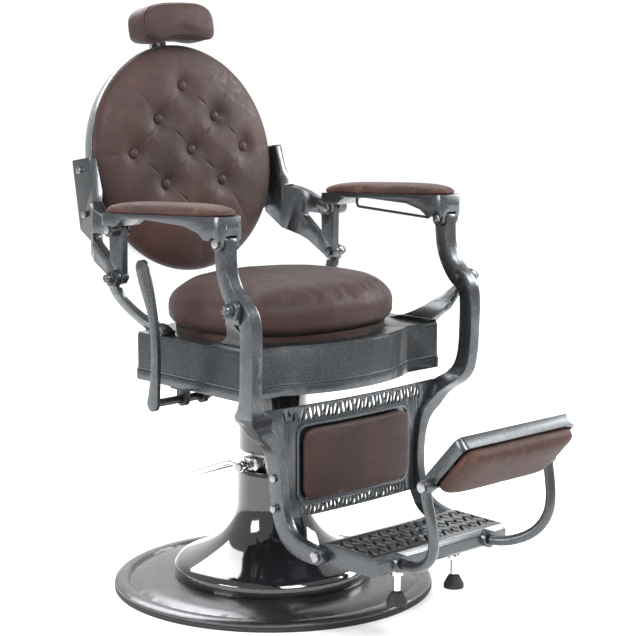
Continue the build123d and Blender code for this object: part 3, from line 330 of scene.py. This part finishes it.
def power(value, exponent):
    """value to the exponent, keeping its sign."""
    return math.copysign(abs(value) ** exponent, value)


def pillow(name, centre, right, up, outward, half, thick, finish, body, round_plan, round_side,
           back_thick, rings=44, around=112):
    """A closed crowned cushion: half sizes along right and up, thickness towards outward and behind."""
    vertices, faces = [], []
    for i in range(rings + 1):
        lat = math.pi * (i / rings - 0.5)
        spread = power(math.cos(lat), round_side)
        height = power(math.sin(lat), round_side)
        height *= thick if height > 0 else back_thick
        for j in range(around):
            turn = 2 * math.pi * j / around
            a = half[0] * spread * power(math.cos(turn), round_plan)
            b = half[1] * spread * power(math.sin(turn), round_plan)
            vertices.append(centre + right * a + up * b + outward * height)
    for i in range(rings):
        for j in range(around):
            k = (j + 1) % around
            faces.append((i * around + j, i * around + k, (i + 1) * around + k, (i + 1) * around + j))
    obj = mesh_piece(name, vertices, faces, finish, body)
    weld(obj, 0.0004)
    return obj


def weld(obj, distance):
    """Merges doubled points and turns the faces outward."""
    bm = bmesh.new()
    bm.from_mesh(obj.data)
    bmesh.ops.remove_doubles(bm, verts=bm.verts, dist=distance)
    bmesh.ops.recalc_face_normals(bm, faces=bm.faces)
    bm.to_mesh(obj.data)
    bm.free()
    obj.data.shade_smooth()


def inflate(obj, cap, voxel, pressure=4.0, pin=None):
    """Swells a cushion with cloth under pressure; no point moves further than cap."""
    bpy.context.view_layer.objects.active = obj
    remesh = obj.modifiers.new("Voxels", "REMESH")
    remesh.mode = "VOXEL"
    remesh.voxel_size = voxel
    apply_modifier(obj, remesh)
    rest = [v.co.copy() for v in obj.data.vertices]
    cloth = obj.modifiers.new("Cloth", "CLOTH")
    cloth.settings.use_pressure = True
    cloth.settings.uniform_pressure_force = pressure
    cloth.settings.effector_weights.gravity = 0
    cloth.settings.quality = 5
    cloth.settings.tension_stiffness = 15
    cloth.settings.bending_stiffness = 0.8
    cloth.point_cache.frame_start = 1
    cloth.point_cache.frame_end = 20
    for step in range(1, 21):
        bpy.context.scene.frame_set(step)
    apply_modifier(obj, cloth)
    bpy.context.scene.frame_set(1)
    for vertex, start in zip(obj.data.vertices, rest):
        move = vertex.co - start
        if move.length > cap:
            vertex.co = start + move * (cap / move.length)
        if pin is not None:
            vertex.co = pin(vertex.co)
    subdivide(obj)


def apply_modifier(obj, modifier):
    """Applies one modifier with only obj selected."""
    for other in bpy.context.selected_objects:
        other.select_set(False)
    obj.select_set(True)
    bpy.context.view_layer.objects.active = obj
    bpy.ops.object.modifier_apply(modifier=modifier.name)


def subdivide(obj):
    """One level of subdivision, applied."""
    modifier = obj.modifiers.new("Smooth", "SUBSURF")
    modifier.levels = 1
    modifier.render_levels = 1
    apply_modifier(obj, modifier)
    obj.data.shade_smooth()


def piping(name, points, radius, finish, body):
    """A closed sewn ridge through points."""
    curve = bpy.data.curves.new(name, "CURVE")
    curve.dimensions = "3D"
    curve.bevel_depth = radius
    curve.bevel_resolution = 2
    spline = curve.splines.new("POLY")
    spline.points.add(len(points) - 1)
    for point, place_at in zip(spline.points, points):
        point.co = (*place_at, 1)
    spline.use_cyclic_u = True
    obj = bpy.data.objects.new(name, curve)
    bpy.context.scene.collection.objects.link(obj)
    curve.materials.append(material(finish))
    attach(obj, body)
    return obj


def segment_distance(p, a, b):
    """Distance from p to the segment a-b, and how far along it the nearest point lies."""
    ax, ay = a
    bx, by = b
    dx, dy = bx - ax, by - ay
    share = max(0.0, min(1.0, ((p[0] - ax) * dx + (p[1] - ay) * dy) / (dx * dx + dy * dy)))
    return math.hypot(p[0] - ax - dx * share, p[1] - ay - dy * share), share


def tuft_drop(x, y, depth):
    """How far the back's face is drawn in at (x, y) by the buttons and the folds between them."""
    drop = 0.0
    for bx, by in BUTTONS:
        d = math.hypot(x - bx, y - by)
        drop = max(drop, depth * math.exp(-((max(0.0, d - 0.0100) / 0.019) ** 1.2)))
    folds = [(BUTTONS[a], BUTTONS[b], 0.0030) for a, b in CREASES]
    folds += [(BUTTONS[a], end, 0.0026) for a, end in RIM_CREASES]
    valley = 0.0
    for a, b, fold in folds:
        d, share = segment_distance((x, y), a, b)
        bow = math.exp(-((d / 0.0015) ** 2)) * fold * 0.7 + math.exp(-((d / 0.012) ** 2)) * fold * 0.7
        valley = max(valley, bow)
    return max(drop, valley) + 0.25 * min(drop, valley)


# ------------------------------------------------------------------ operators
class CHAIR_OT_castings(bpy.types.Operator):
    """Give the castings, pins and machined pieces their finishes and rounded edges"""

    bl_idname = "chair.castings"
    bl_label = "Castings and metalwork"

    finishes = {
        "hammertone": "Hammered grey", "silver": "Silver shell", "pan_coat": "Silver shell",
        "base_coat": "Satin base", "black_gloss": "Gloss black", "chrome": "Polished chrome",
        "steel": "Machined steel", "zinc": "Zinc plate", "washer": "Bronze washer",
        "frame_steel": "Black frame paint", "gasket": "Black rubber", "seal": "Black rubber",
        "foot_rubber": "Black rubber", "knob": "Black plastic", "board": "Brown leather",
        "leather": "Brown leather", "arm_leather": "Redder leather", "button_leather": "Button leather",
    }

    def execute(self, context):
        slots = {s["node"]: s["material_slot"] for s in frame["record"]["subparts"]}
        rounding = context.scene.chair_sizes.edge_round
        for node, obj in NODES.items():
            finish = material(self.finishes[slots[node]])
            obj.data.materials.clear()
            obj.data.materials.append(finish)
            if slots[node] in ("leather", "arm_leather", "button_leather", "gasket", "board"):
                continue
            weld_points = obj.modifiers.new("Weld", "WELD")
            weld_points.merge_threshold = 0.00002
            bevel = obj.modifiers.new("Round edges", "BEVEL")
            bevel.width = rounding
            bevel.segments = 2
            bevel.limit_method = "ANGLE"
            bevel.angle_limit = math.radians(32)
            bevel.harden_normals = True
            obj.data.shade_smooth()
        return {"FINISHED"}


class CHAIR_OT_back(bpy.types.Operator):
    """Build the round button-tufted back cushion and its covered buttons"""

    bl_idname = "chair.back"
    bl_label = "Tufted back"

    radius = 0.2385

    def height(self, x, y, depth):
        """How far the face stands in front of the rim at (x, y)."""
        r = math.hypot(x, y) / self.radius
        edge = max(0.0, 1 - r ** 3.4) ** 0.42
        dome = 0.031 + 0.013 * (1 - r * r)
        wrinkle = 0.0007 * noise.noise(Vector((x * 38, y * 38, 1.7))) * (1 - r)
        return edge * (dome - tuft_drop(x, y, depth) * edge + wrinkle)

    def execute(self, context):
        sizes = context.scene.chair_sizes
        rings, around = 190, 380
        vertices, faces = [BACK_CENTRE + BACK_OUT * -self.height(0, 0, sizes.tuft_depth)], []
        right = Vector((1, 0, 0))
        for i in range(1, rings + 1):
            share = i / rings
            r = self.radius * (1 - (1 - share) ** 1.35)
            for j in range(around):
                turn = 2 * math.pi * j / around
                x, y = r * math.cos(turn), r * math.sin(turn)
                lift = self.height(x, y, sizes.tuft_depth)
                vertices.append(BACK_CENTRE + right * x + BACK_UP * y - BACK_OUT * lift)
        for j in range(around):
            faces.append((0, 1 + j, 1 + (j + 1) % around))
        for i in range(rings - 1):
            a, b = 1 + i * around, 1 + (i + 1) * around
            for j in range(around):
                k = (j + 1) % around
                faces.append((a + j, b + j, b + k, a + k))
        tail = 1 + (rings - 1) * around
        faces.append(tuple(tail + j for j in range(around)))
        cushion = mesh_piece("back_tufted_cushion", vertices, faces, "Brown leather", "back")
        weld(cushion, 0.00001)
        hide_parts("back_cushion")

        radius = sizes.button_radius
        vertices, faces = [], []
        for bx, by in BUTTONS:
            lift = self.height(bx, by, sizes.tuft_depth) + 0.0005
            centre = BACK_CENTRE + right * bx + BACK_UP * by - BACK_OUT * lift
            start = len(vertices)
            vertices.append(centre - BACK_OUT * BUTTON_PROFILE[0][1])
            for share, tall in BUTTON_PROFILE[1:]:
                for j in range(BUTTON_SIDES):
                    turn = 2 * math.pi * j / BUTTON_SIDES
                    side = right * math.cos(turn) + BACK_UP * math.sin(turn)
                    vertices.append(centre + side * radius * share - BACK_OUT * tall)
            for j in range(BUTTON_SIDES):
                faces.append((start, start + 1 + j, start + 1 + (j + 1) % BUTTON_SIDES))
                for ring in range(len(BUTTON_PROFILE) - 2):
                    a, b = start + 1 + ring * BUTTON_SIDES, start + 1 + (ring + 1) * BUTTON_SIDES
                    k = (j + 1) % BUTTON_SIDES
                    faces.append((a + j, b + j, b + k, a + k))
            last = start + 1 + (len(BUTTON_PROFILE) - 2) * BUTTON_SIDES
            faces.append(tuple(last + j for j in range(BUTTON_SIDES)))
        buttons = mesh_piece(
            "back_covered_buttons", vertices, faces, "Button leather", "back"
        )
        weld(buttons, 0.00001)
        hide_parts("back_buttons")
        return {"FINISHED"}


class CHAIR_OT_seat(bpy.types.Operator):
    """Build the oval seat cushion, blown up as cloth and kept from sinking below its board"""

    bl_idname = "chair.seat"
    bl_label = "Seat cushion"

    def execute(self, context):
        low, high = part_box("seat_cushion")
        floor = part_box("seat_board")[0][2] + 0.0006
        half = ((high[0] - low[0]) / 2 - 0.002, (high[1] - low[1]) / 2 - 0.002)
        centre = Vector(((low[0] + high[0]) / 2, (low[1] + high[1]) / 2, floor + 0.034))
        crown = context.scene.chair_sizes.seat_crown - 0.024
        seat = pillow(
            "seat_leather_cushion", centre, Vector((1, 0, 0)), Vector((0, 1, 0)), Vector((0, 0, 1)),
            half, crown, "Brown leather", "seat",
            round_plan=0.88, round_side=0.60, back_thick=0.034,
        )
        inflate(seat, 0.006, voxel=0.006, pin=lambda co: Vector((co.x, co.y, max(co.z, floor))))
        for vertex in seat.data.vertices:
            co = vertex.co
            if co.z > floor + 0.02:
                vertex.co.z += 0.0012 * noise.noise(Vector((co.x * 17, co.y * 17, 3.1)))
        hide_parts("seat_cushion")
        return {"FINISHED"}


class CHAIR_OT_headrest(bpy.types.Operator):
    """Build the headrest pillow with its arched underside, side gussets and piping"""

    bl_idname = "chair.headrest"
    bl_label = "Headrest"

    def execute(self, context):
        right = Vector((1, 0, 0))
        front, rear = HEAD_FRONT, HEAD_REAR

        def outline(turn, shrink):
            a = HEAD_HALF * shrink * power(math.cos(turn), 0.62)
            b = power(math.sin(turn), 0.62)
            x_share = min(1.0, abs(a) / HEAD_HALF)
            arch = ARCH_TOP - ARCH_DROP * x_share ** 2
            if b > 0:
                return a, HEAD_HINGE + (HEAD_TOP - HEAD_HINGE) * shrink * b
            return a, HEAD_HINGE + (arch - HEAD_HINGE) * abs(b) * shrink

        around, layers = 120, []
        depths = [
            (rear, 0.55), (rear, 0.84), (rear - 0.004, 0.94), (rear - 0.014, 0.985), (rear - 0.03, 1.0),
            (rear - 0.05, 1.0),
            (front + 0.018, 0.995), (front + 0.010, 0.975), (front + 0.004, 0.94), (front + 0.001, 0.86),
            (front, 0.7), (front - 0.0008, 0.45), (front - 0.001, 0.2),
        ]
        vertices, faces = [], []
        for out, shrink in depths:
            for j in range(around):
                a, b = outline(2 * math.pi * j / around, shrink)
                vertices.append(BACK_CENTRE + right * a + BACK_UP * b + BACK_OUT * out)
        for i in range(len(depths) - 1):
            for j in range(around):
                k = (j + 1) % around
                faces.append((i * around + j, i * around + k, (i + 1) * around + k, (i + 1) * around + j))
        faces.append(tuple(range(around)))
        last = (len(depths) - 1) * around
        faces.append(tuple(last + j for j in range(around)))
        pad = mesh_piece("headrest_pillow", vertices, faces, "Brown leather", "headrest")
        weld(pad, 0.00005)
        inflate(pad, 0.003, voxel=0.0045, pressure=2.5)
        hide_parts("headrest_cushion")
        ring = []
        for j in range(around):
            a, b = outline(2 * math.pi * j / around, 0.985)
            ring.append(BACK_CENTRE + right * a + BACK_UP * b + BACK_OUT * (front + 0.012))
        piping("headrest_piping", ring, 0.0014, "Brown leather", "headrest")
        return {"FINISHED"}


class CHAIR_OT_pads(bpy.types.Operator):
    """Build the arm pads, the calf pad and the leather face of the flip-over pad"""

    bl_idname = "chair.pads"
    bl_label = "Arm, calf and foot pads"

    def arm_pad(self, side):
        low, high = (Vector(corner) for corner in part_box(f"arm_pad_{side}"))
        along = Vector((0, -math.cos(ARM_SLOPE), math.sin(ARM_SLOPE)))
        upward = Vector((0, math.sin(ARM_SLOPE), math.cos(ARM_SLOPE)))
        middle = (low + high) / 2
        pad = pillow(
            f"arm_leather_{side}", Vector((middle.x, middle.y, middle.z - 0.0085)),
            Vector((1, 0, 0)), along, upward,
            ((high.x - low.x) / 2 - 0.0005, (high.y - low.y) / 2 + 0.003), 0.021, "Redder leather",
            f"armrest_{side}", round_plan=0.40, round_side=0.66, back_thick=0.003,
        )
        inflate(pad, 0.0015, voxel=0.004, pressure=2.0)
        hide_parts(f"arm_pad_{side}")

    def calf_pad(self):
        low, high = (Vector(corner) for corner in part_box("calf_pad"))
        middle = (low + high) / 2
        pad = pillow(
            "calf_leather", Vector((0, high.y - 0.0065, middle.z)), Vector((1, 0, 0)), Vector((0, 0, 1)),
            Vector((0, -1, 0)), ((high.x - low.x) / 2 - 0.001, (high.z - low.z) / 2 - 0.001), 0.012,
            "Brown leather", "leg_frame", round_plan=0.24, round_side=0.42, back_thick=0.004,
        )
        for vertex in pad.data.vertices:
            share = vertex.co.x / 0.146
            vertex.co.y -= CALF_BOW * (1 - share * share)
        inflate(pad, 0.0015, voxel=0.0045, pressure=2.0)
        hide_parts("calf_pad")

    def flip_pad(self):
        along = Vector((0, -math.cos(FLIP_SLOPE), math.sin(FLIP_SLOPE)))
        face = Vector((0, -math.sin(FLIP_SLOPE), -math.cos(FLIP_SLOPE)))
        middle = FLIP_PIVOT + along * 0.051 + face * 0.006
        pad = pillow(
            "flip_leather", middle, Vector((1, 0, 0)), along, face, FLIP_HALF, 0.027, "Redder leather",
            "flip_pad", round_plan=0.22, round_side=0.55, back_thick=0.008,
        )
        inflate(pad, 0.002, voxel=0.0045, pressure=2.0)
        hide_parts("flip_cushion")

    def execute(self, context):
        for side in ("left", "right"):
            self.arm_pad(side)
        self.calf_pad()
        self.flip_pad()
        return {"FINISHED"}


class CHAIR_OT_stage(bpy.types.Operator):
    """Set up the pale studio floor, the soft lights and the camera"""

    bl_idname = "chair.stage"
    bl_label = "Studio"

    def execute(self, context):
        scene = context.scene
        profile = [(-6.0, 0.0), (4.5, 0.0)]
        sweep = [math.pi / 2 * i / 12 for i in range(1, 13)]
        profile += [(4.5 + 1.5 * math.sin(a), 1.5 - 1.5 * math.cos(a)) for a in sweep]
        profile += [(6.0, 7.0)]
        vertices, faces = [], []
        for along, tall in profile:
            for across in (-9, 9):
                x = across * math.cos(STAGE_TURN) - along * math.sin(STAGE_TURN)
                y = across * math.sin(STAGE_TURN) + along * math.cos(STAGE_TURN)
                vertices.append((x, y, tall))
        for i in range(len(profile) - 1):
            faces.append((2 * i, 2 * i + 1, 2 * i + 3, 2 * i + 2))
        mesh = bpy.data.meshes.new("studio_floor")
        mesh.from_pydata(vertices, [], faces)
        mesh.shade_smooth()
        floor = bpy.data.objects.new("studio_floor", mesh)
        scene.collection.objects.link(floor)
        paper, tree, shader = new_material("Studio paper")
        shader.inputs["Base Color"].default_value = (0.93, 0.93, 0.93, 1)
        shader.inputs["Roughness"].default_value = 0.8
        shader.inputs["Specular IOR Level"].default_value = 0.1
        floor.data.materials.append(paper)

        world = bpy.data.worlds.new("Studio light")
        world.use_nodes = True
        world.node_tree.nodes["Background"].inputs["Color"].default_value = (1, 1, 1, 1)
        world.node_tree.nodes["Background"].inputs["Strength"].default_value = 0.62
        scene.world = world
        lamps = [
            ("key_light", (-0.6, -3.0, 3.4), 1.7, 170),
            ("left_light", (-3.6, 0.4, 2.0), 1.5, 105),
            ("right_light", (3.2, -1.0, 2.2), 1.5, 110),
            ("rear_light", (0.4, 2.6, 3.2), 2.6, 150),
        ]
        target = Vector((0, 0, 0.6))
        for name, spot, size, watts in lamps:
            lamp = bpy.data.lights.new(name, "AREA")
            lamp.energy = watts
            lamp.size = size
            obj = bpy.data.objects.new(name, lamp)
            obj.location = spot
            obj.rotation_euler = (target - Vector(spot)).to_track_quat("-Z", "Y").to_euler()
            scene.collection.objects.link(obj)
        scene.view_settings.view_transform = "Standard"

        lens = bpy.data.cameras.new("camera")
        lens.sensor_width = SENSOR_MM
        lens.lens = SENSOR_MM * FOCAL_PX / IMAGE_PX
        camera = bpy.data.objects.new("camera", lens)
        camera.location = CAMERA_SPOT
        camera.rotation_euler = (CAMERA_PITCH, 0, CAMERA_TURN)
        scene.collection.objects.link(camera)
        scene.camera = camera
        return {"FINISHED"}


class CHAIR_PT_panel(bpy.types.Panel):
    bl_label = "Barber Chair"
    bl_idname = "CHAIR_PT_panel"
    bl_space_type = "VIEW_3D"
    bl_region_type = "UI"
    bl_category = "Barber Chair"

    def draw(self, context):
        layout = self.layout
        for group in (context.scene.chair_sizes, context.scene.chair_colours):
            for key in group.__annotations__:
                layout.prop(group, key)
        for operator in OPERATORS:
            layout.operator(operator.bl_idname)


OPERATORS = (
    CHAIR_OT_castings, CHAIR_OT_back, CHAIR_OT_seat, CHAIR_OT_headrest, CHAIR_OT_pads, CHAIR_OT_stage,
)
CLASSES = (ChairSizes, ChairColours, *OPERATORS, CHAIR_PT_panel)


def register():
    for cls in CLASSES:
        bpy.utils.register_class(cls)
    bpy.types.Scene.chair_sizes = bpy.props.PointerProperty(type=ChairSizes)
    bpy.types.Scene.chair_colours = bpy.props.PointerProperty(type=ChairColours)


def unregister():
    del bpy.types.Scene.chair_colours
    del bpy.types.Scene.chair_sizes
    for cls in reversed(CLASSES):
        bpy.utils.unregister_class(cls)


def main():
    register()
    bpy.ops.chair.castings()
    bpy.ops.chair.back()
    bpy.ops.chair.seat()
    bpy.ops.chair.headrest()
    bpy.ops.chair.pads()
    bpy.ops.chair.stage()


if __name__ == "__main__":
    main()
